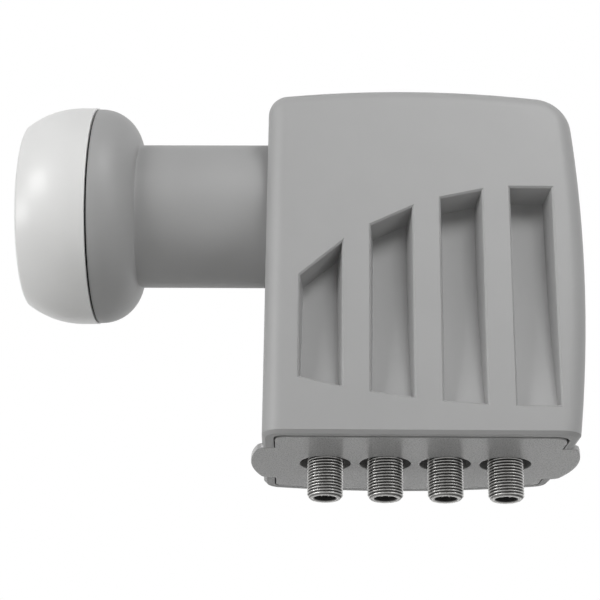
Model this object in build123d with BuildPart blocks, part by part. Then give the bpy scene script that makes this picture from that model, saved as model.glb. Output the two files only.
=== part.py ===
"""Quad satellite LNB: a low-noise block converter with a 40 mm clamp neck and four F outputs.

The frame has its origin on the neck's axis, midway along the stretch that the dish's clamp grips.
+X runs from the feed cap to the housing, +Z is up and the outputs point down. Millimetres.
"""

import os
from math import cos, radians, sin, sqrt, tan

from build123d import *

os.makedirs("parts", exist_ok=True)

# Neck and flare, one moulding round the waveguide
neck_diameter = 40.0
neck_length = 35.5
neck_wall = 2.4
flare_arc_radius = 11.0
flare_land = 0.5
spigot_length = 5.0
spigot_wall = 1.6
seat_ledge = 1.6
bowl_setback = 3.5
collar_thickness = 2.5
collar_margin = 0.4

# Feed cap and the seal in its seam
cap_diameter = 60.5
cap_overhang = 0.3
cap_length = 19.5
cap_land = 4.3
cap_edge_drop = 4.4
cap_edge_rise = 1.2
cap_edge_radius = 1.8
cap_wall = 1.8
seal_thickness = 0.5
seal_recess = 0.9

# Housing walls and their crowns
front_y = -27.0
rear_y = 27.4
top_z = 26.95
left_lean = 1.5
right_x = 99.95
right_lean = 5.0
top_crown_x = 53.75
top_crown_radius = 305.0
rear_crown_x = 51.75
rear_crown_radius = 150.0
side_crown_z = -22.0
side_crown_radius = 400.0
left_corner_radius = 5.4
right_corner_radius = 10.5
edge_radius = 5.0
mouth_break = 0.9
parting_width = 0.4
parting_depth = 0.4
wall = 2.2

# Flutes in the front cover
flute_count = 4
flute_first_x = 33.04
flute_pitch = 18.39
flute_width = 11.1
flute_depth = 8.6
flute_draft = 7.5
flute_skew = 2.5
flute_floor_z = -12.0
flute_floor_radius = 246.0
flute_edge_break = 0.4
flute_edge_angle = 45.0
flute_top_x = 87.75
flute_top_z = -3.4
flute_top_radius = 84.0
flute_bottom_x = 89.75
flute_bottom_z = -64.2
flute_bottom_radius = 262.0

# Connector plate
plate_z = -71.7
lip_height = 2.0
flange_thickness = 2.0
front_lip = 2.6
left_lip = 3.0
side_lip = 2.6
plate_corner_radius = 3.6
plate_small_radius = 2.4
ear_half_width = 13.6
left_ear_reach = 3.1
right_ear_reach = 3.8
ear_arc_radius = 35.0
ear_corner_radius = 2.5
ear_thickness = 1.4
jack_hole_diameter = 13.6

# F outputs
jack_count = 4
jack_first_x = 34.25
jack_pitch = 15.83
jack_tip_z = -81.3
jack_thread_diameter = 9.44
jack_bore_diameter = 5.8
jack_chamfer = 0.8
jack_shank_diameter = 9.0
insulator_recess = 1.2
lead_width = 1.0
lead_thickness = 0.4
lead_rise = 8.0
lead_tail = 0.6
fork_gap = 1.4
fork_length = 6.0
fork_stand = 0.4
gasket_thickness = 0.8
gasket_margin = 3.4

# Waveguide, horn and chassis casting
guide_diameter = 18.0
guide_wall = 3.0
guide_end_x = 49.0
horn_disc_thickness = 2.0
horn_ring_thickness = 1.4
horn_inner_reach = 14.0
horn_outer_reach = 9.5
web_front_y = 10.0
web_thickness = 2.5
chassis_right_x = 86.5
chassis_top_z = 15.4
chassis_bottom_z = -58.0
rim_height = 6.0
rim_wall = 2.0
shelf_thickness = 3.5
shelf_front_y = -8.0
shelf_margin = 2.0
gusset_thickness = 2.0
gusset_reach = 6.0
window_margin = 1.5

# Chassis lid, board and what they carry
lid_thickness = 1.2
lid_skirt_depth = 1.5
lid_skirt_thickness = 1.0
board_thickness = 1.6
chip_size = 7.0
chip_height = 1.0
chip_drop = 16.0
resonator_diameter = 5.6
resonator_height = 2.0
probe_side = 1.2
probe_hole_diameter = 3.4
probe_depth = 5.0
horizontal_probe_x = 28.0
vertical_probe_x = 42.0

# Posts that clamp the chassis between the covers, at X and Z of each
post_places = [(60.0, 10.0), (82.0, 10.0), (27.0, -45.0), (82.0, -45.0)]
post_side = 5.0

# Snap hooks that hold the covers together, two above and one in each side wall
snap_top_xs = (38.0, 75.0)
snap_side_z = -45.0
snap_width = 8.0
snap_root = 8.0
snap_reach = 7.0
snap_drop = 1.6
snap_arm = 1.6
snap_nub = 0.8
snap_nub_length = 1.9
snap_tip_slope = 1.2
catch_y = 3.0
catch_bury = 1.0

# Clearances
fit = 0.1
wire_fit = 0.05
plate_gap = 0.35
front_gap = 1.35

# Levels and radii that follow from the sizes above
neck_radius = neck_diameter / 2
cap_radius = cap_diameter / 2
flare_radius = cap_radius - cap_overhang
wall_x = neck_length / 2
root_x = -neck_length / 2
bore_radius = neck_radius - neck_wall
flare_centre_radius = flare_radius - flare_arc_radius
flare_centre_x = root_x - sqrt(flare_arc_radius**2 - (neck_radius - flare_centre_radius) ** 2)
seam_x = flare_centre_x - flare_land
cap_rim_x = seam_x - seal_thickness
cap_front_x = cap_rim_x - cap_length
spigot_radius = cap_radius - cap_wall - fit
spigot_bore_radius = spigot_radius - spigot_wall
bowl_arc_radius = flare_arc_radius - neck_wall
seat_radius = spigot_bore_radius - seat_ledge
seat_x = flare_centre_x + sqrt(bowl_arc_radius**2 - (spigot_bore_radius - flare_centre_radius) ** 2)
bowl_root_x = root_x - bowl_setback
collar_x = wall_x + wall + (neck_radius + collar_margin) * tan(radians(left_lean))
collar_back_x = collar_x + collar_thickness
guide_radius = guide_diameter / 2
guide_outer_radius = guide_radius + guide_wall
web_rear_y = web_front_y + web_thickness
rim_y = web_rear_y + rim_height
lid_y = rim_y + lid_thickness
chassis_left_x = collar_back_x + fit
lip_z = plate_z + lip_height
flange_z = lip_z + flange_thickness
shelf_z = chassis_bottom_z - shelf_thickness
jack_radius = jack_thread_diameter / 2
jack_bore_radius = jack_bore_diameter / 2
shank_radius = jack_shank_diameter / 2
insulator_z = jack_tip_z + insulator_recess
fork_z = insulator_z - fork_stand
jack_xs = [jack_first_x + jack_pitch * i for i in range(jack_count)]
lead_z = chassis_bottom_z + lead_rise
board_rear_y = web_rear_y + board_thickness
wire_end_y = board_rear_y + lead_tail
reach = 2 * (right_x - cap_front_x)


def plane_at(y):
    """An upright plane at depth y, facing the front, with X to the right and Z up."""
    return Plane.XZ.offset(-y)


def left_wall_x(y):
    """Where the outside of the leaning left wall is at depth y."""
    return wall_x - y * tan(radians(left_lean))


def housing_form(inset, floor):
    """The housing's form above the level floor: rounded outside, or moved in by inset with plain edges."""
    right_wall = Plane(
        origin=(right_x, 0, 0),
        x_dir=(1, tan(radians(right_lean)), 0),
        z_dir=(tan(radians(right_lean)), -1, 0),
    )
    with BuildPart() as form:
        with BuildSketch(Plane.XY.offset(floor)):
            with BuildLine():
                Polyline(
                    (left_wall_x(front_y + inset) + inset, front_y + inset),
                    (reach, front_y + inset),
                    (reach, reach),
                    (left_wall_x(reach) + inset, reach),
                    close=True,
                )
            make_face()
            with Locations((rear_crown_x, rear_y - rear_crown_radius)):
                Circle(rear_crown_radius - inset, mode=Mode.INTERSECT)
        extrude(amount=reach)
        with BuildSketch(Plane.XZ):
            with Locations((top_crown_x, top_z - top_crown_radius)):
                Circle(top_crown_radius - inset)
        extrude(amount=reach, both=True, mode=Mode.INTERSECT)
        with BuildSketch(right_wall):
            with Locations((-side_crown_radius, side_crown_z)):
                Circle(side_crown_radius - inset)
        extrude(amount=reach, both=True, mode=Mode.INTERSECT)
        top_right = form.faces().sort_by(Axis.Z)[-1].edges().sort_by(Axis.X)[-1]
        fillet(top_right, radius=right_corner_radius - inset)
        top_left = form.faces().sort_by(Axis.Z)[-1].edges().sort_by(Axis.X)[0]
        fillet(top_left, radius=left_corner_radius - inset)
        if not inset:
            front_edges = form.faces().sort_by(Axis.Y)[0].edges().sort_by(Axis.Z)[1:]
            fillet(front_edges, radius=edge_radius)
            rear_edges = form.faces().sort_by(Axis.Y)[-1].edges().sort_by(Axis.Z)[1:]
            fillet(rear_edges, radius=edge_radius)
    return form.part


def plate_outline(front, left, side):
    """The connector plate's plan, inset from the housing's walls by front, left and side."""
    level_x = right_x - (plate_z - side_crown_z) ** 2 / (2 * side_crown_radius) - side
    lean = tan(radians(right_lean))
    with BuildSketch() as outline:
        with BuildLine():
            Polyline(
                (left_wall_x(front_y + front) + left, front_y + front),
                (level_x - (front_y + front) * lean, front_y + front),
                (level_x - rear_y * lean, rear_y),
                (left_wall_x(rear_y) + left, rear_y),
                close=True,
            )
        make_face()
        with Locations((rear_crown_x, rear_y - rear_crown_radius)):
            Circle(rear_crown_radius - side, mode=Mode.INTERSECT)
        corners = outline.vertices().sort_by(Axis.Y)
        front_left = corners[:2].sort_by(Axis.X)[0]
        fillet([front_left, *corners[-2:]], radius=plate_small_radius)
        front_right = outline.vertices().sort_by(Axis.Y)[:2].sort_by(Axis.X)[-1]
        fillet(front_right, radius=plate_corner_radius)
    return outline.sketch


def ear_outline(margin):
    """The two finger ears of the connector plate, bowed out past the side walls, with their roots inside."""
    level_x = right_x - (plate_z - side_crown_z) ** 2 / (2 * side_crown_radius)
    right_set = right_ear_reach - ear_arc_radius
    right_middle = (level_x + right_set * cos(radians(right_lean)), right_set * sin(radians(right_lean)))
    with BuildSketch() as ears:
        with Locations((wall_x - left_ear_reach + ear_arc_radius, 0)):
            Circle(ear_arc_radius + margin)
        with Locations(right_middle):
            Circle(ear_arc_radius + margin)
        with Locations(((wall_x + level_x) / 2, 0)):
            Rectangle(reach, 2 * (ear_half_width + margin), mode=Mode.INTERSECT)
        fillet(ears.vertices(), radius=ear_corner_radius + margin)
    return ears.sketch


def flute_form(index, grow):
    """One flute's scoop, grown by grow all round: drafted sides, a floor that curves out to its foot."""
    left = flute_first_x + flute_pitch * index - flute_width / 2
    right = left + flute_width
    depth = flute_depth + grow
    inset = depth * tan(radians(flute_draft))
    shift = depth * tan(radians(flute_skew))

    def top(x):
        return flute_top_z - flute_top_radius + sqrt(flute_top_radius**2 - (x - flute_top_x) ** 2)

    def bottom(x):
        return flute_bottom_z + flute_bottom_radius - sqrt(flute_bottom_radius**2 - (x - flute_bottom_x) ** 2)

    inward = Plane(origin=(0, front_y, 0), x_dir=(1, 0, 0), z_dir=(0, 1, 0))
    corners = [(left, -bottom(left)), (right, -bottom(right)), (right, -top(right)), (left, -top(left))]
    with BuildPart() as scoop:
        with BuildSketch(inward):
            Polygon(*corners, align=None)
            if grow:
                offset(amount=grow, kind=Kind.INTERSECTION)
        with BuildSketch(inward.offset(depth)):
            with Locations((-shift, 0)):
                Polygon(*corners, align=None)
            offset(amount=grow - inset, kind=Kind.INTERSECTION)
        loft()
        with BuildSketch(Plane.YZ):
            with Locations((front_y + flute_depth - flute_floor_radius, flute_floor_z)):
                Circle(flute_floor_radius + grow)
        extrude(amount=reach, mode=Mode.INTERSECT)
        if not grow:
            with BuildSketch(inward):
                Polygon(*corners, align=None)
                offset(amount=flute_edge_break, kind=Kind.INTERSECTION)
            extrude(amount=flute_edge_break, taper=flute_edge_angle)
    return scoop.part


def posts(from_y, to_y):
    """Square posts at the four clamping places, from one depth to another."""
    with BuildPart() as bars:
        with BuildSketch(plane_at(to_y)):
            with Locations(*post_places):
                Rectangle(post_side, post_side)
        extrude(amount=to_y - from_y)
    return bars.part


def snap_planes():
    """A plane at each snap: x runs to the rear, y outwards from the wall's inner face, z along the wall."""
    top_level = top_z - wall
    side_level = right_x - wall - (snap_side_z - side_crown_z) ** 2 / (2 * side_crown_radius)
    for x in snap_top_xs:
        level = top_level - (x - top_crown_x) ** 2 / (2 * top_crown_radius)
        yield Plane(origin=(x, 0, level), x_dir=(0, 1, 0), z_dir=(1, 0, 0))
    yield Plane(origin=(side_level, 0, snap_side_z), x_dir=(0, 1, 0), z_dir=(0, 0, -1))
    yield Plane(origin=(wall_x + wall, 0, snap_side_z), x_dir=(0, 1, 0), z_dir=(0, 0, 1))


# Outside of the housing, with the edge round its mouth broken
with BuildPart() as housing:
    add(housing_form(0, plate_z))
    chamfer(housing.faces().sort_by(Axis.Z)[0].edges(), length=mouth_break)

# Groove round the housing where the covers part
with BuildPart() as parting_groove:
    add(housing.part)
    add(housing_form(parting_depth, plate_z), mode=Mode.SUBTRACT)
    with BuildSketch(Plane.XZ):
        Rectangle(reach, reach)
    extrude(amount=parting_width / 2, both=True, mode=Mode.INTERSECT)

# Shell of both covers before they part: walls, lips round the plate, neck hole and ear notches
with BuildPart() as shell:
    add(housing.part)
    add(housing_form(wall, lip_z), mode=Mode.SUBTRACT)
    add(parting_groove.part, mode=Mode.SUBTRACT)
    with BuildSketch(Plane.XY.offset(plate_z)):
        add(plate_outline(front_lip, left_lip, side_lip))
    extrude(amount=lip_height + wall, mode=Mode.SUBTRACT)
    with BuildSketch(Plane.XY.offset(plate_z)):
        add(ear_outline(plate_gap))
    extrude(amount=ear_thickness + fit, mode=Mode.SUBTRACT)
    with BuildSketch(Plane.YZ.offset(wall_x)):
        Circle(neck_radius + fit)
    extrude(amount=2 * wall, both=True, mode=Mode.SUBTRACT)

# Front cover: the half with the flutes, clamping posts and snap hooks
with BuildPart() as front_cover:
    add(shell.part)
    split(bisect_by=Plane.XZ, keep=Keep.TOP)
    for flute in range(flute_count):
        add(flute_form(flute, wall))
    add(posts(front_y + wall, web_front_y))
    add(housing.part, mode=Mode.INTERSECT)
    for place in snap_planes():
        with BuildSketch(place):
            with BuildLine():
                Polyline(
                    (-snap_root, catch_bury),
                    (-snap_root, -snap_drop - snap_arm),
                    (snap_reach, -snap_drop - snap_arm),
                    (snap_reach, -snap_drop),
                    (snap_reach - snap_tip_slope, -snap_drop + snap_nub),
                    (snap_reach - snap_nub_length, -snap_drop + snap_nub),
                    (snap_reach - snap_nub_length, -snap_drop),
                    (0, -snap_drop),
                    (0, catch_bury),
                    close=True,
                )
            make_face()
        extrude(amount=snap_width / 2, both=True)
    for flute in range(flute_count):
        add(flute_form(flute, 0), mode=Mode.SUBTRACT)
front_cover.part.label = "front_cover"
export_step(front_cover.part, "parts/front_cover.step")

# Rear cover: the crowned half, with posts that press on the chassis lid and a catch for each hook
with BuildPart() as rear_cover:
    add(shell.part)
    split(bisect_by=Plane.XZ, keep=Keep.BOTTOM)
    add(posts(lid_y, rear_y))
    add(housing.part, mode=Mode.INTERSECT)
    for place in snap_planes():
        with BuildSketch(place):
            with Locations((catch_y, -snap_drop + fit)):
                Rectangle(
                    snap_reach - snap_nub_length - fit - catch_y,
                    snap_drop - fit + catch_bury,
                    align=(Align.MIN, Align.MIN),
                )
        extrude(amount=snap_width / 2, both=True)
rear_cover.part.label = "rear_cover"
export_step(rear_cover.part, "parts/rear_cover.step")

# Connector plate: fills the mouth of the housing, held by a flange above the lips
with BuildPart() as connector_plate:
    with BuildSketch(Plane.XY.offset(plate_z)):
        add(plate_outline(front_lip + front_gap, left_lip + plate_gap, side_lip + plate_gap))
    extrude(amount=lip_height)
    with BuildSketch(Plane.XY.offset(plate_z)):
        add(ear_outline(0))
    extrude(amount=ear_thickness)
    with BuildSketch(Plane.XY.offset(lip_z)):
        add(plate_outline(wall + fit, wall + fit, wall + fit))
    extrude(amount=flange_thickness)
    with BuildSketch(Plane.XY.offset(plate_z)):
        with Locations(*[(x, 0) for x in jack_xs]):
            Circle(jack_hole_diameter / 2)
    extrude(amount=lip_height + flange_thickness, mode=Mode.SUBTRACT)
connector_plate.part.label = "connector_plate"
export_step(connector_plate.part, "parts/connector_plate.step")

# Neck sleeve: clamp neck and flare, a spigot for the cap and a square collar inside the housing
with BuildPart() as neck_sleeve:
    with BuildSketch(Plane.XZ):
        with BuildLine():
            Polyline(
                (seat_x, seat_radius),
                (bowl_root_x, bore_radius),
                (collar_back_x, bore_radius),
                (collar_back_x, neck_radius),
                (root_x, neck_radius),
            )
            RadiusArc((root_x, neck_radius), (flare_centre_x, flare_radius), -flare_arc_radius)
            Polyline(
                (flare_centre_x, flare_radius),
                (seam_x, flare_radius),
                (seam_x, spigot_radius),
                (seam_x - spigot_length, spigot_radius),
                (seam_x - spigot_length, spigot_bore_radius),
                (seat_x, spigot_bore_radius),
                (seat_x, seat_radius),
            )
        make_face()
    revolve(axis=Axis.X)
    with BuildSketch(Plane.YZ.offset(collar_x)):
        Rectangle(2 * (neck_radius + collar_margin), 2 * (neck_radius + collar_margin))
        Circle(bore_radius, mode=Mode.SUBTRACT)
    extrude(amount=collar_thickness)
neck_sleeve.part.label = "neck_sleeve"
export_step(neck_sleeve.part, "parts/neck_sleeve.step")


def cap_form(inset):
    """The feed cap's turned form with its skin moved in by inset, from the front to the rim."""
    land_x = cap_rim_x - cap_land
    edge_x = cap_front_x + cap_edge_rise
    taper_radius = ((land_x - edge_x) ** 2 + cap_edge_drop**2) / (2 * cap_edge_drop)
    front_x = cap_front_x + inset
    front_radius = cap_radius - taper_radius + sqrt((taper_radius - inset) ** 2 - (land_x - front_x) ** 2)
    with BuildPart() as form:
        with BuildSketch(Plane.XZ):
            with BuildLine():
                Polyline(
                    (front_x, front_radius),
                    (front_x, 0),
                    (cap_rim_x, 0),
                    (cap_rim_x, cap_radius - inset),
                    (land_x, cap_radius - inset),
                )
                RadiusArc((land_x, cap_radius - inset), (front_x, front_radius), -(taper_radius - inset))
            make_face()
        revolve(axis=Axis.X)
    return form.part


# Feed cap: thin moulded radome pushed over the spigot
with BuildPart() as feed_cap:
    add(cap_form(0))
    fillet(feed_cap.faces().sort_by(Axis.X)[0].edges(), radius=cap_edge_radius)
    add(cap_form(cap_wall), mode=Mode.SUBTRACT)
feed_cap.part.label = "feed_cap"
export_step(feed_cap.part, "parts/feed_cap.step")

# Cap seal: flat ring that fills the seam between cap and flare
with BuildPart() as cap_seal:
    with BuildSketch(Plane.YZ.offset(cap_rim_x)):
        Circle(flare_radius - seal_recess)
        Circle(spigot_radius + wire_fit, mode=Mode.SUBTRACT)
    extrude(amount=seal_thickness)
cap_seal.part.label = "cap_seal"
export_step(cap_seal.part, "parts/cap_seal.step")

# Feed horn: disc on the waveguide's end with choke rings towards the dish
with BuildPart() as feed_horn:
    horn_radius = spigot_bore_radius - fit
    horn_face_x = seat_x - horn_disc_thickness
    with BuildSketch(Plane.XZ):
        with Locations((horn_face_x, guide_radius)):
            Rectangle(horn_disc_thickness, horn_radius - guide_radius, align=(Align.MIN, Align.MIN))
            Rectangle(horn_inner_reach, horn_ring_thickness, align=(Align.MAX, Align.MIN))
        with Locations((horn_face_x, horn_radius)):
            Rectangle(horn_outer_reach, horn_ring_thickness, align=(Align.MAX, Align.MAX))
    revolve(axis=Axis.X)
feed_horn.part.label = "feed_horn"
export_step(feed_horn.part, "parts/feed_horn.step")

# Places on the chassis tray
tray_width = chassis_right_x - chassis_left_x
tray_height = chassis_top_z - chassis_bottom_z
tray_centre = ((chassis_left_x + chassis_right_x) / 2, (chassis_top_z + chassis_bottom_z) / 2)
jack_middle_x = (jack_xs[0] + jack_xs[-1]) / 2
jack_span = jack_xs[-1] - jack_xs[0]
vertical_probe_z = -(guide_outer_radius + probe_hole_diameter)
resonator_places = [(tray_centre[0] + i * tray_width / 4, tray_centre[1]) for i in (-1, 1)]
chip_places = [(tray_centre[0] + i * tray_width / 4, tray_centre[1] - chip_drop) for i in (-1, 0, 1)]
skirt_inset = 2 * (rim_wall + fit)
probe_places = [(vertical_probe_x, vertical_probe_z), (horizontal_probe_x, 0)]

# Chassis: die-cast tray for the board with the waveguide in front and a shelf for the outputs below
with BuildPart() as chassis:
    with BuildSketch(plane_at(web_rear_y)):
        with Locations(tray_centre):
            Rectangle(tray_width, tray_height)
    extrude(amount=web_thickness)
    with BuildSketch(plane_at(rim_y)):
        with Locations(tray_centre):
            Rectangle(tray_width, tray_height)
            Rectangle(tray_width - 2 * rim_wall, tray_height - 2 * rim_wall, mode=Mode.SUBTRACT)
    extrude(amount=rim_height)
    with BuildSketch(Plane.YZ.offset(seat_x)):
        Circle(guide_outer_radius)
    extrude(amount=guide_end_x + guide_wall - seat_x)
    with BuildSketch(Plane.YZ.offset(seat_x)):
        Circle(guide_radius)
    extrude(amount=guide_end_x - seat_x, mode=Mode.SUBTRACT)
    with BuildSketch(Plane.XY.offset(shelf_z)):
        with Locations((jack_middle_x, shelf_front_y)):
            Rectangle(
                jack_span + 2 * (jack_radius + shelf_margin),
                web_rear_y - shelf_front_y,
                align=(Align.CENTER, Align.MIN),
            )
    extrude(amount=shelf_thickness)
    for left_jack, right_jack in zip(jack_xs, jack_xs[1:]):
        with BuildSketch(Plane.YZ.offset((left_jack + right_jack) / 2)):
            with BuildLine():
                Polyline(
                    (web_front_y, chassis_bottom_z),
                    (web_front_y - gusset_reach, chassis_bottom_z),
                    (web_front_y, chassis_bottom_z + gusset_reach),
                    close=True,
                )
            make_face()
        extrude(amount=gusset_thickness / 2, both=True)
    with BuildSketch(Plane.XY.offset(shelf_z)):
        with Locations(*[(x, 0) for x in jack_xs]):
            Circle(shank_radius + wire_fit)
    extrude(amount=shelf_thickness, mode=Mode.SUBTRACT)
    with BuildSketch(plane_at(web_rear_y)):
        with Locations((jack_middle_x, lead_z)):
            Rectangle(jack_span + 2 * window_margin, 2 * window_margin)
    extrude(amount=web_thickness, mode=Mode.SUBTRACT)
    with BuildSketch(plane_at(web_rear_y)):
        with Locations(*probe_places):
            Circle(probe_hole_diameter / 2)
    extrude(amount=web_thickness + guide_wall, mode=Mode.SUBTRACT)
    with BuildSketch(Plane.XY.offset(-guide_outer_radius - fit)):
        with Locations((vertical_probe_x, 0)):
            Circle(probe_hole_diameter / 2)
    extrude(amount=guide_outer_radius, mode=Mode.SUBTRACT)
chassis.part.label = "chassis"
export_step(chassis.part, "parts/chassis.step")

# Chassis lid: pressed sheet with a skirt inside the rim
with BuildPart() as chassis_lid:
    with BuildSketch(plane_at(lid_y)):
        with Locations(tray_centre):
            Rectangle(tray_width, tray_height)
    extrude(amount=lid_thickness)
    with BuildSketch(plane_at(rim_y)):
        with Locations(tray_centre):
            Rectangle(tray_width - skirt_inset, tray_height - skirt_inset)
            Rectangle(
                tray_width - skirt_inset - 2 * lid_skirt_thickness,
                tray_height - skirt_inset - 2 * lid_skirt_thickness,
                mode=Mode.SUBTRACT,
            )
    extrude(amount=lid_skirt_depth)
chassis_lid.part.label = "chassis_lid"
export_step(chassis_lid.part, "parts/chassis_lid.step")

# Radio board on the floor of the tray
with BuildPart() as rf_board:
    with BuildSketch(plane_at(board_rear_y)):
        with Locations(tray_centre):
            Rectangle(tray_width - skirt_inset, tray_height - skirt_inset)
        with Locations(*probe_places):
            Rectangle(probe_side + 2 * wire_fit, probe_side + 2 * wire_fit, mode=Mode.SUBTRACT)
        with Locations(*[(x, lead_z) for x in jack_xs]):
            Rectangle(lead_thickness + 2 * wire_fit, lead_width + 2 * wire_fit, mode=Mode.SUBTRACT)
    extrude(amount=board_thickness)
rf_board.part.label = "rf_board"
export_step(rf_board.part, "parts/rf_board.step")

# Mixers and switch matrix on the board
with BuildPart() as board_chips:
    with BuildSketch(plane_at(board_rear_y + chip_height)):
        with Locations(*chip_places):
            Rectangle(chip_size, chip_size)
    extrude(amount=chip_height)
board_chips.part.label = "board_chips"
export_step(board_chips.part, "parts/board_chips.step")

# Dielectric pucks that set the two local oscillators
with BuildPart() as dielectric_resonators:
    with BuildSketch(plane_at(board_rear_y + resonator_height)):
        with Locations(*resonator_places):
            Circle(resonator_diameter / 2)
    extrude(amount=resonator_height)
dielectric_resonators.part.label = "dielectric_resonators"
export_step(dielectric_resonators.part, "parts/dielectric_resonators.step")

# Horizontal probe: straight square pin from the board into the waveguide
with BuildPart() as horizontal_probe:
    with BuildSketch(plane_at(wire_end_y)):
        with Locations((horizontal_probe_x, 0)):
            Rectangle(probe_side, probe_side)
    extrude(amount=wire_end_y - guide_radius + probe_depth)
horizontal_probe.part.label = "horizontal_probe"
export_step(horizontal_probe.part, "parts/horizontal_probe.step")

# Vertical probe: bent square pin from the board, up through the floor of the waveguide
with BuildPart() as vertical_probe:
    with BuildLine(Plane.YZ.offset(vertical_probe_x)) as probe_path:
        Polyline((wire_end_y, vertical_probe_z), (0, vertical_probe_z), (0, probe_depth - guide_radius))
    with BuildSketch(plane_at(wire_end_y)):
        with Locations((vertical_probe_x, vertical_probe_z)):
            Rectangle(probe_side, probe_side)
    sweep(path=probe_path.line, transition=Transition.RIGHT)
vertical_probe.part.label = "vertical_probe"
export_step(vertical_probe.part, "parts/vertical_probe.step")

# Jack gasket: rubber sheet on the plate's flange, tight round the four barrels
with BuildPart() as jack_gasket:
    gasket_border = jack_hole_diameter / 2 + gasket_margin
    with BuildSketch(Plane.XY.offset(flange_z)):
        with Locations((jack_middle_x, 0)):
            Rectangle(jack_span + 2 * gasket_border, 2 * gasket_border)
        with Locations(*[(x, 0) for x in jack_xs]):
            Circle(shank_radius + wire_fit, mode=Mode.SUBTRACT)
    extrude(amount=gasket_thickness)
jack_gasket.part.label = "jack_gasket"
export_step(jack_gasket.part, "parts/jack_gasket.step")

# F outputs: threaded barrel pressed into the shelf, its insulator and its forked contact
for number, jack_x in enumerate(jack_xs, start=1):
    with BuildPart() as f_jack:
        with BuildSketch(Plane.XY.offset(jack_tip_z)):
            with Locations((jack_x, 0)):
                Circle(jack_radius)
        extrude(amount=flange_z - jack_tip_z)
        chamfer(f_jack.faces().sort_by(Axis.Z)[0].edges(), length=jack_chamfer)
        with BuildSketch(Plane.XY.offset(flange_z)):
            with Locations((jack_x, 0)):
                Circle(shank_radius)
        extrude(amount=chassis_bottom_z - flange_z)
        with BuildSketch(Plane.XY.offset(jack_tip_z)):
            with Locations((jack_x, 0)):
                Circle(jack_bore_radius)
        extrude(amount=chassis_bottom_z - jack_tip_z, mode=Mode.SUBTRACT)
    f_jack.part.label = f"f_jack_{number}"
    export_step(f_jack.part, f"parts/f_jack_{number}.step")

    with BuildPart() as jack_insulator:
        with BuildSketch(Plane.XY.offset(insulator_z)):
            with Locations((jack_x, 0)):
                Circle(jack_bore_radius - wire_fit)
        extrude(amount=chassis_bottom_z - insulator_z)
        with BuildSketch(Plane.XY.offset(insulator_z)):
            with Locations((jack_x, 0)):
                Rectangle(fork_gap + 2 * (lead_thickness + wire_fit), lead_width + 2 * wire_fit)
        extrude(amount=fork_length - fork_stand + wire_fit, mode=Mode.SUBTRACT)
        with BuildSketch(Plane.XY.offset(insulator_z)):
            with Locations((jack_x, 0)):
                Rectangle(lead_thickness + 2 * wire_fit, lead_width + 2 * wire_fit)
        extrude(amount=chassis_bottom_z - insulator_z, mode=Mode.SUBTRACT)
    jack_insulator.part.label = f"jack_insulator_{number}"
    export_step(jack_insulator.part, f"parts/jack_insulator_{number}.step")

    with BuildPart() as jack_contact:
        with BuildSketch(Plane.XZ):
            with Locations((jack_x, fork_z)):
                Rectangle(fork_gap + 2 * lead_thickness, fork_length, align=(Align.CENTER, Align.MIN))
                Rectangle(
                    fork_gap,
                    fork_length - lead_thickness,
                    align=(Align.CENTER, Align.MIN),
                    mode=Mode.SUBTRACT,
                )
        extrude(amount=lead_width / 2, both=True)
        with BuildSketch(Plane.YZ.offset(jack_x)):
            with Locations((0, fork_z + fork_length)):
                Rectangle(lead_width, lead_z - fork_z - fork_length, align=(Align.CENTER, Align.MIN))
            with Locations((-lead_width / 2, lead_z)):
                Rectangle(wire_end_y + lead_width / 2, lead_width, align=(Align.MIN, Align.CENTER))
        extrude(amount=lead_thickness / 2, both=True)
    jack_contact.part.label = f"jack_contact_{number}"
    export_step(jack_contact.part, f"parts/jack_contact_{number}.step")
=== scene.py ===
from math import hypot, radians, tau

import bmesh
import bpy
from mathutils import Matrix, Vector


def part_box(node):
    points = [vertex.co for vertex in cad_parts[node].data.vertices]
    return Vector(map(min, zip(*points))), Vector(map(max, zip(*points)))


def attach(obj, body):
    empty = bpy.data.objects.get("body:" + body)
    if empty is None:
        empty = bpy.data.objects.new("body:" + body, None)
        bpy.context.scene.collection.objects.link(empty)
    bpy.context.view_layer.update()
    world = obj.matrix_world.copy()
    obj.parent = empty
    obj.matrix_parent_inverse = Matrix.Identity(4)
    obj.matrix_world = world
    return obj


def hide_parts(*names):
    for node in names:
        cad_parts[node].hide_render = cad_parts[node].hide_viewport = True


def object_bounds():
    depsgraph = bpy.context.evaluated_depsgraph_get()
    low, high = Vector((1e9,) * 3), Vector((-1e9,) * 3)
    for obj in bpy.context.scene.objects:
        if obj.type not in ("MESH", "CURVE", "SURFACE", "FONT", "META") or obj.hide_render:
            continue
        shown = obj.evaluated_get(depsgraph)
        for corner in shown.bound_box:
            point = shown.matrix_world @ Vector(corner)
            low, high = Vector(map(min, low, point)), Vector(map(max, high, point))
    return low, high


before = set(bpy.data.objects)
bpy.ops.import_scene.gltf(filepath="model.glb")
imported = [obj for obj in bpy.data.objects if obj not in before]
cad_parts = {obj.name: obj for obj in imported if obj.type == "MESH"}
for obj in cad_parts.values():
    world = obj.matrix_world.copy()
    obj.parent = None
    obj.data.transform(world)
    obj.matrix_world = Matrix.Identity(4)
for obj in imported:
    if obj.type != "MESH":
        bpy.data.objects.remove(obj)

cad_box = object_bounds()


# Chassis, lid and horn: the frame that everything else is fixed to, out of sight in the housing.
# Pressure die-cast aluminium. The lid is pressed into the tray's rim, and the horn sits on the end of the
# waveguide.

def linear(code):
    """A colour written as sRGB hex, as linear red, green, blue and alpha."""
    parts = [int(code[i : i + 2], 16) / 255 for i in (1, 3, 5)]
    return [c / 12.92 if c <= 0.04045 else ((c + 0.055) / 1.055) ** 2.4 for c in parts] + [1.0]


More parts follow.
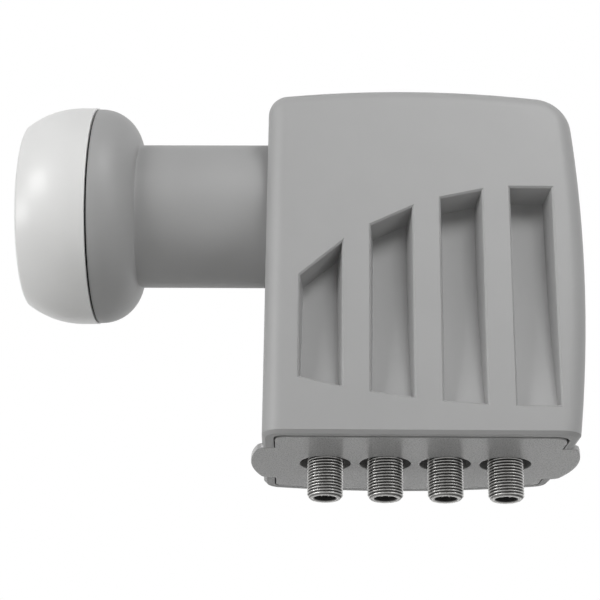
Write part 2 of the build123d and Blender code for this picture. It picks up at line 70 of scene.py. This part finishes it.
def add_node(tree, kind, settings={}, inputs={}):
    """A new node with its settings made and each input either linked to a socket or set to a value."""
    added = tree.nodes.new(kind)
    for name, value in settings.items():
        setattr(added, name, value)
    for name, value in inputs.items():
        if isinstance(value, bpy.types.NodeSocket):
            tree.links.new(value, added.inputs[name])
        else:
            added.inputs[name].default_value = value
    return added


def new_material(name, **values):
    """A material with its tree and shader; the values are set straight on the shader's sockets."""
    material = bpy.data.materials.new(name)
    material.use_nodes = True
    shader = material.node_tree.nodes["Principled BSDF"]
    for socket, value in values.items():
        shader.inputs[socket.replace("_", " ")].default_value = value
    return material, material.node_tree, shader


def paint(material, *names):
    """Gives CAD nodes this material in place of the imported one."""
    for name in names:
        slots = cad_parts[name].data.materials
        slots.clear()
        slots.append(material)


def per_mm(size):
    """The texture scale that gives a pattern of that size in millimetres."""
    return 1000 / size


def mottle(tree, size, detail=2.0):
    """A noise pattern fixed to the object, with lumps of about that size in millimetres."""
    place = add_node(tree, "ShaderNodeTexCoord").outputs["Object"]
    return add_node(
        tree,
        "ShaderNodeTexNoise",
        {},
        {"Vector": place, "Scale": per_mm(size), "Detail": detail},
    )


def two_tone(tree, shader, texture, dark, light):
    """Colours a shader between two tones by a texture's strength."""
    tone = add_node(tree, "ShaderNodeValToRGB", {}, {"Fac": texture.outputs["Fac"]})
    tone.color_ramp.elements[0].color = linear(dark)
    tone.color_ramp.elements[1].color = linear(light)
    tree.links.new(tone.outputs["Color"], shader.inputs["Base Color"])


# Die casting leaves a dull silver skin with cloudy flow marks and fine pits
cast_flow_mm = 6.0
cast_pit_mm = 0.5
cast_pit_depth = 0.00002
cast_smooth = 0.42
cast_dull = 0.62
cast, tree, shader = new_material("aluminium_die_cast", Metallic=1.0)
flow = mottle(tree, cast_flow_mm, detail=4.0)
two_tone(tree, shader, flow, "#A3A4A5", "#C4C5C6")
dull = add_node(
    tree,
    "ShaderNodeMapRange",
    {},
    {"Value": flow.outputs["Fac"], "To Min": cast_smooth, "To Max": cast_dull},
)
tree.links.new(dull.outputs["Result"], shader.inputs["Roughness"])
pits = mottle(tree, cast_pit_mm)
relief = add_node(tree, "ShaderNodeBump", {}, {"Height": pits.outputs["Fac"], "Distance": cast_pit_depth})
tree.links.new(relief.outputs["Normal"], shader.inputs["Normal"])
paint(cast, "chassis", "chassis_lid", "feed_horn")


# Radio board with its chips and oscillator pucks, laid on the floor of the tray.
# The board is glass-epoxy laminate under solder mask, the chips are moulded epoxy and the pucks fired
# ceramic, all soldered or glued to it.

# Solder mask is a glossy green that shows the laminate's weave as faint stripes
weave_mm = 0.6
wave_radians = 20
mask, tree, shader = new_material("glass_epoxy_solder_mask", Roughness=0.32, IOR=1.5)
place = add_node(tree, "ShaderNodeTexCoord").outputs["Object"]
weave = add_node(
    tree,
    "ShaderNodeTexWave",
    {"bands_direction": "X"},
    {"Vector": place, "Scale": per_mm(weave_mm) * tau / wave_radians},
)
two_tone(tree, shader, weave, "#1F4A2C", "#265836")
paint(mask, "rf_board")

# Moulded epoxy is a matt, slightly mottled black
grain_mm = 0.3
epoxy, tree, shader = new_material("epoxy_moulded_black", Roughness=0.55)
grain = mottle(tree, grain_mm)
two_tone(tree, shader, grain, "#1C1C1D", "#29292A")
paint(epoxy, "board_chips")

# Fired ceramic is a warm, chalky white
ceramic, tree, shader = new_material("ceramic_fired", Roughness=0.5, IOR=1.6)
grain = mottle(tree, grain_mm)
two_tone(tree, shader, grain, "#D2C9B8", "#DDD5C6")
paint(ceramic, "dielectric_resonators")


# F outputs: four threaded brass barrels, pressed into the shelf of the chassis, with stamped contacts.
# Turned from bar with a 3/8-32 thread and a chamfered end, then plated with nickel. The probes in the
# waveguide are plated the same way.

thread_pitch = 25.4 / 32 / 1000
thread_depth = 0.00052
crest_width = 0.00016
steps_per_turn = 64
tip_chamfer = 0.0008
bore_radius = 0.0029
bore_lip = 0.0003
threaded_share = 0.5
groove_band = 0.00024
merge_distance = 1e-7

# Bright plating mirrors the room on the crests; grooves and bores carry painted shade, a dark colour with no
# metal and a rough surface
tarnish_mm = 1.5
plating_smooth = 0.16
plating_dull = 0.3
groove_rough = 0.6
nickel, tree, shader = new_material("brass_nickel_plated")
film = mottle(tree, tarnish_mm, detail=3.0)
plating = add_node(tree, "ShaderNodeValToRGB", {}, {"Fac": film.outputs["Fac"]})
plating.color_ramp.elements[0].color = linear("#C6C5C3")
plating.color_ramp.elements[1].color = linear("#DCDBD9")
# Painted shade: in the thread roots and the bore, marked by the groove attribute, the colour turns dark and
# the metal is taken away
groove = add_node(tree, "ShaderNodeAttribute", {"attribute_name": "groove"}).outputs["Fac"]
painted_groove_shade = add_node(
    tree,
    "ShaderNodeMix",
    {"data_type": "RGBA"},
    {"Factor": groove, 6: plating.outputs["Color"], 7: linear("#2C2B2A")},
)
tree.links.new(painted_groove_shade.outputs[2], shader.inputs["Base Color"])
metal_outside_shade = add_node(tree, "ShaderNodeMath", {"operation": "SUBTRACT"}, {0: 1.0, 1: groove})
tree.links.new(metal_outside_shade.outputs[0], shader.inputs["Metallic"])
polish = add_node(
    tree,
    "ShaderNodeMapRange",
    {},
    {"Value": film.outputs["Fac"], "To Min": plating_smooth, "To Max": plating_dull},
)
matt = add_node(tree, "ShaderNodeMix", {}, {"Factor": groove, 2: polish.outputs["Result"], 3: groove_rough})
tree.links.new(matt.outputs[0], shader.inputs["Roughness"])


def turned(bm, profile, centre):
    """Spins a profile of (radius, height) points about the upright axis through centre into bm."""
    points = [bm.verts.new((centre.x + radius, centre.y, height)) for radius, height in profile]
    lines = [bm.edges.new(pair) for pair in zip(points, points[1:])]
    bmesh.ops.spin(
        bm,
        geom=points + lines,
        cent=centre,
        axis=(0, 0, 1),
        angle=tau,
        steps=2 * steps_per_turn,
        use_merge=True,
    )


def outward(point, centre):
    """How far a vertex lies from the upright axis through centre."""
    return hypot(point.co.x - centre.x, point.co.y - centre.y)


def new_piece(bm, name, material):
    """Turns a finished bmesh into a piece of the object that rides with it."""
    mesh = bpy.data.meshes.new(name)
    bm.to_mesh(mesh)
    bm.free()
    mesh.materials.append(material)
    piece = bpy.data.objects.new(name, mesh)
    bpy.context.scene.collection.objects.link(piece)
    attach(piece, "root")
    return piece


def threaded_barrel(name):
    """The barrel that stands for one plain CAD jack: turned core, chamfered end and a helical ridge."""
    low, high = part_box(name)
    centre = Vector(((low[0] + high[0]) / 2, (low[1] + high[1]) / 2, 0))
    crest = (high[0] - low[0]) / 2
    root = crest - thread_depth
    tip, top = low[2], high[2]
    rim = tip + tip_chamfer
    bm = bmesh.new()
    turned(
        bm,
        [
            (bore_radius, top),
            (bore_radius, tip + bore_lip),
            (bore_radius + bore_lip, tip),
            (crest - tip_chamfer, tip),
            (root, rim - thread_depth),
            (root, top),
            (bore_radius, top),
        ],
        centre,
    )
    ridge = [
        bm.verts.new((centre.x + radius, centre.y, tip + height))
        for radius, height in (
            (root - crest_width, -thread_pitch / 2),
            (crest, -crest_width / 2),
            (crest, crest_width / 2),
            (root - crest_width, thread_pitch / 2),
        )
    ]
    sides = [bm.edges.new(pair) for pair in zip(ridge, ridge[1:] + ridge[:1])]
    turns = int((top - tip) * threaded_share / thread_pitch)
    bmesh.ops.spin(
        bm,
        geom=ridge + sides,
        cent=centre,
        axis=(0, 0, 1),
        dvec=(0, 0, thread_pitch / steps_per_turn),
        angle=tau * turns,
        steps=steps_per_turn * turns,
    )
    for face in bm.faces:
        face.smooth = any(outward(point, centre) > root + crest_width / 2 for point in face.verts)
    # Painted shade mask: 1 on the vertices at the thread roots and in the bore, which get the dark colour
    groove_shade_layer = bm.verts.layers.float.new("groove")
    for point in bm.verts:
        reach = outward(point, centre)
        in_groove = abs(root - reach) < groove_band
        in_bore = reach < bore_radius + bore_lip / 2
        point[groove_shade_layer] = float(in_groove or in_bore)
        limit = crest - max(0, rim - max(point.co.z, tip))
        if reach > limit:
            point.co.x = centre.x + (point.co.x - centre.x) * limit / reach
            point.co.y = centre.y + (point.co.y - centre.y) * limit / reach
        point.co.z = max(point.co.z, tip)
    bmesh.ops.remove_doubles(bm, verts=bm.verts, dist=merge_distance)
    bmesh.ops.recalc_face_normals(bm, faces=bm.faces)
    piece = new_piece(bm, "threaded_" + name, nickel)
    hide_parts(name)


jack_names = sorted(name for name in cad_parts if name.startswith("f_jack_"))
for jack_name in jack_names:
    threaded_barrel(jack_name)
paint(nickel, "horizontal_probe", "vertical_probe")
paint(nickel, *[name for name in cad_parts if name.startswith("jack_contact_")])


# Insulators in the outputs: plugs of moulded plastic pushed into the barrels round each contact.
# The plastic carries painted shade: it is coloured nearly black so that the bores look shaded deep inside.

# Moulded polyethylene has a soft, waxy sheen; its near-black colour is painted shade
insulator_plastic, tree, shader = new_material("polyethylene_painted_shade", Roughness=0.5)
grain = mottle(tree, grain_mm)
two_tone(tree, shader, grain, "#121212", "#1B1B1B")
paint(insulator_plastic, *[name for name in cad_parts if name.startswith("jack_insulator_")])


# Gasket on the connector plate's flange and seal in the cap's seam: black rubber, cut from sheet.
# The gasket is stretched over the barrels, and the seal is squeezed between cap and flare.

# Bare rubber is a flat, slightly dusty black with hardly any shine, taken darker still as painted shade deep
# in the connector holes
dust_mm = 2.0
rubber, tree, shader = new_material("rubber_cut_sheet", Roughness=0.75)
dust = mottle(tree, dust_mm, detail=5.0)
two_tone(tree, shader, dust, "#0D0D0D", "#171717")
paint(rubber, "jack_gasket", "cap_seal")


# Housing: front and rear covers, connector plate and neck sleeve, injection moulded in grey ABS.
# The covers snap together round the neck's collar and the plate. The sleeve shows the line where its
# mould opened.

texture_mm = 0.35
texture_depth = 0.000012
cloud_mm = 14.0
rough_swing = 0.06


def moulded_plastic(name, dark, light, rough, depth, edge_round):
    """Plastic from a textured mould: faint cloudiness, fine grain and edges rounded by edge_round."""
    material, tree, shader = new_material(name, IOR=1.5)
    two_tone(tree, shader, mottle(tree, cloud_mm, detail=3.0), dark, light)
    grain = mottle(tree, texture_mm)
    matt = add_node(
        tree,
        "ShaderNodeMapRange",
        {},
        {"Value": grain.outputs["Fac"], "To Min": rough - rough_swing, "To Max": rough + rough_swing},
    )
    tree.links.new(matt.outputs["Result"], shader.inputs["Roughness"])
    edge = add_node(tree, "ShaderNodeBevel", {"samples": 8}, {"Radius": edge_round})
    relief = add_node(
        tree,
        "ShaderNodeBump",
        {},
        {"Height": grain.outputs["Fac"], "Distance": depth, "Normal": edge.outputs["Normal"]},
    )
    tree.links.new(relief.outputs["Normal"], shader.inputs["Normal"])
    return material


# A spark-eroded mould gives a matt skin with a soft sheen at glancing angles and edges just broken
housing_abs = moulded_plastic(
    "abs_grey_textured",
    dark="#A0A0A0",
    light="#A6A6A6",
    rough=0.5,
    depth=texture_depth,
    edge_round=0.0001,
)
paint(housing_abs, "front_cover", "rear_cover")

# A smoother mould gives the plate a sheen in which the barrels are faintly mirrored
plate_abs = moulded_plastic(
    "abs_grey_smooth",
    dark="#A0A0A0",
    light="#A5A5A5",
    rough=0.28,
    depth=texture_depth / 2,
    edge_round=0.0004,
)
paint(plate_abs, "connector_plate")

# The sleeve has the covers' skin, a softer root and a fine ridge where the halves of its mould met
ridge_half_width = 0.00012
ridge_height = 0.00008
sleeve_abs = moulded_plastic(
    "abs_grey_mould_line",
    dark="#A0A0A0",
    light="#A6A6A6",
    rough=0.5,
    depth=texture_depth,
    edge_round=0.001,
)
tree = sleeve_abs.node_tree
place = add_node(tree, "ShaderNodeTexCoord").outputs["Object"]
depth_place = add_node(tree, "ShaderNodeSeparateXYZ", {}, {"Vector": place}).outputs["Y"]
on_line = add_node(
    tree,
    "ShaderNodeMath",
    {"operation": "COMPARE"},
    {0: depth_place, 1: 0.0, 2: ridge_half_width},
)
shader = tree.nodes["Principled BSDF"]
skin = shader.inputs["Normal"].links[0].from_socket
mould_line = add_node(
    tree,
    "ShaderNodeBump",
    {},
    {"Height": on_line.outputs[0], "Distance": ridge_height, "Normal": skin},
)
tree.links.new(mould_line.outputs["Normal"], shader.inputs["Normal"])
paint(sleeve_abs, "neck_sleeve")


# Feed cap: thin light-grey radome that lets the signal in and keeps the weather out.
# Injection moulded in polypropylene and pushed over the spigot of the neck.

# Polypropylene from a satin mould has a pale, waxy sheen
cap_plastic = moulded_plastic(
    "polypropylene_satin",
    dark="#E2E2E1",
    light="#E8E8E7",
    rough=0.34,
    depth=texture_depth / 3,
    edge_round=0.0004,
)
paint(cap_plastic, "feed_cap")


# Floor and white surroundings of the studio, which aren't part of the object.
# The floor lies below the camera, which looks up at the object, so it takes the shadow without showing.

floor_level = -0.26
floor_half = 2.0
white_strength = 1.0
floor_mesh = bmesh.new()
bmesh.ops.create_grid(floor_mesh, x_segments=1, y_segments=1, size=floor_half)
bmesh.ops.translate(floor_mesh, verts=floor_mesh.verts, vec=(0, 0, floor_level))
floor_data = bpy.data.meshes.new("floor")
floor_mesh.to_mesh(floor_data)
floor_mesh.free()
floor = bpy.data.objects.new("floor", floor_data)
bpy.context.scene.collection.objects.link(floor)


def background_rays(tree):
    """A socket that is 1 on the rays that look at the surroundings: camera, glossy and transmission rays."""
    ray = add_node(tree, "ShaderNodeLightPath").outputs
    mirrored = add_node(
        tree,
        "ShaderNodeMath",
        {"operation": "MAXIMUM"},
        {0: ray["Is Glossy Ray"], 1: ray["Is Transmission Ray"]},
    )
    seen = add_node(
        tree,
        "ShaderNodeMath",
        {"operation": "MAXIMUM"},
        {0: ray["Is Camera Ray"], 1: mirrored.outputs[0]},
    )
    return seen.outputs[0]


# Matt card is an even pale grey, faintly mottled, that fades into the white room away from the object
fibre_mm = 40.0
floor_glow = 0.12
fade_radius = 1.6
fade_start = 0.9
fade_end = 1.5
card, tree, shader = new_material("card_pale_matt", Roughness=0.9, Emission_Color=linear("#FFFFFF"))
two_tone(tree, shader, mottle(tree, fibre_mm), "#E4E4E3", "#EAEAE9")
place = add_node(tree, "ShaderNodeTexCoord").outputs["Object"]
centred = add_node(
    tree,
    "ShaderNodeMapping",
    {},
    {"Vector": place, "Location": (0, 0, -floor_level / fade_radius), "Scale": [1 / fade_radius] * 3},
)
nearness = add_node(
    tree,
    "ShaderNodeTexGradient",
    {"gradient_type": "SPHERICAL"},
    {"Vector": centred.outputs["Vector"]},
)
fade = add_node(
    tree,
    "ShaderNodeMapRange",
    {},
    {
        "Value": nearness.outputs["Fac"],
        "From Min": 1 - fade_end / fade_radius,
        "From Max": 1 - fade_start / fade_radius,
        "To Min": white_strength,
        "To Max": floor_glow,
    },
)
glow = add_node(
    tree,
    "ShaderNodeMath",
    {"operation": "MULTIPLY"},
    {0: background_rays(tree), 1: fade.outputs["Result"]},
)
tree.links.new(glow.outputs[0], shader.inputs["Emission Strength"])
floor_data.materials.append(card)

# The room is white to the eye and in mirror images, and lights the object only faintly
room_light = 0.02
world = bpy.data.worlds.new("white_room")
bpy.context.scene.world = world
world.use_nodes = True
tree = world.node_tree
tree.nodes.clear()
lit = add_node(tree, "ShaderNodeBackground", {}, {"Color": linear("#FFFFFF"), "Strength": room_light})
white = add_node(tree, "ShaderNodeBackground", {}, {"Color": linear("#FFFFFF"), "Strength": white_strength})
chosen = add_node(
    tree,
    "ShaderNodeMixShader",
    {},
    {0: background_rays(tree), 1: lit.outputs[0], 2: white.outputs[0]},
)
add_node(tree, "ShaderNodeOutputWorld", {}, {"Surface": chosen.outputs[0]})


# Dark flag low in front: a matt black card that the bright threads mirror as a dark band in their middle.
# Only mirror images show it. It takes no light from the object, casts no shadow and isn't part of it.

flag_width = 0.3
flag_height = 0.34
flag_place = (0.05, -0.6, -0.08)
unit_half = 0.5
flag_mesh = bmesh.new()
bmesh.ops.create_grid(flag_mesh, x_segments=1, y_segments=1, size=unit_half)
bmesh.ops.scale(flag_mesh, verts=flag_mesh.verts, vec=(flag_width, flag_height, 1))
bmesh.ops.rotate(flag_mesh, verts=flag_mesh.verts, matrix=Matrix.Rotation(radians(90), 3, "X"))
bmesh.ops.translate(flag_mesh, verts=flag_mesh.verts, vec=flag_place)
flag_data = bpy.data.meshes.new("dark_flag")
flag_mesh.to_mesh(flag_data)
flag_mesh.free()
flag = bpy.data.objects.new("dark_flag", flag_data)
flag.visible_camera = False
flag.visible_diffuse = False
flag.visible_shadow = False
bpy.context.scene.collection.objects.link(flag)

# Black felt swallows nearly all light
pile_mm = 1.0
felt, tree, shader = new_material("felt_black", Roughness=1.0)
two_tone(tree, shader, mottle(tree, pile_mm), "#0C0C0C", "#141414")
flag_data.materials.append(felt)


# Studio lamps: square soft panels round the object, all aimed at its middle.
# A near key from the front right, fills from the left and from low on the right, and two behind that light
# the rear without showing in mirror images.

panel_share = 0.37


def soft_panel(name, azimuth, elevation, distance, power):
    """A soft light at those degrees from the front towards the right and up, with that power in watts."""
    lamp = bpy.data.lights.new(name, "AREA")
    lamp.size = panel_share * distance
    lamp.energy = power
    panel = bpy.data.objects.new(name, lamp)
    panel.visible_camera = False
    panel.matrix_world = (
        Matrix.Translation((Vector(cad_box[0]) + Vector(cad_box[1])) / 2)
        @ Matrix.Rotation(radians(azimuth), 4, "Z")
        @ Matrix.Rotation(radians(-elevation), 4, "X")
        @ Matrix.Translation((0, -distance, 0))
        @ Matrix.Rotation(radians(90), 4, "X")
    )
    bpy.context.scene.collection.objects.link(panel)
    return panel


soft_panel("key_panel", azimuth=25, elevation=35, distance=0.65, power=1.92)
soft_panel("left_panel", azimuth=-50, elevation=15, distance=1.5, power=7.9)
soft_panel("left_low_panel", azimuth=-75, elevation=-5, distance=1.5, power=7.9)
soft_panel("right_low_panel", azimuth=50, elevation=-5, distance=1.5, power=4.1)
back_panel = soft_panel("back_panel", azimuth=170, elevation=8, distance=1.5, power=6.5)
side_panel = soft_panel("side_panel", azimuth=120, elevation=12, distance=1.5, power=4.0)
for rear_panel in (back_panel, side_panel):
    rear_panel.visible_glossy = False


# Camera: below the object and in front of it, looking up at the photograph's angle.
# A long lens on a full-frame sensor, held still at the place that fits the photograph's outlines.

camera_place = Vector((0.038559, -0.433096, -0.200388))
camera_pitch = radians(22.03)
camera_heading = radians(1.535)
camera_roll = radians(0.805)
camera_lens = bpy.data.cameras.new("camera")
camera_lens.sensor_width = 36
camera_lens.lens = 102
camera_lens.clip_start = 0.01
camera = bpy.data.objects.new("camera", camera_lens)
camera.matrix_world = (
    Matrix.Translation(camera_place)
    @ Matrix.Rotation(camera_heading, 4, "Z")
    @ Matrix.Rotation(radians(90) + camera_pitch, 4, "X")
    @ Matrix.Rotation(camera_roll, 4, "Z")
)
bpy.context.scene.collection.objects.link(camera)
bpy.context.scene.camera = camera
bpy.context.scene.view_settings.view_transform = "Standard"
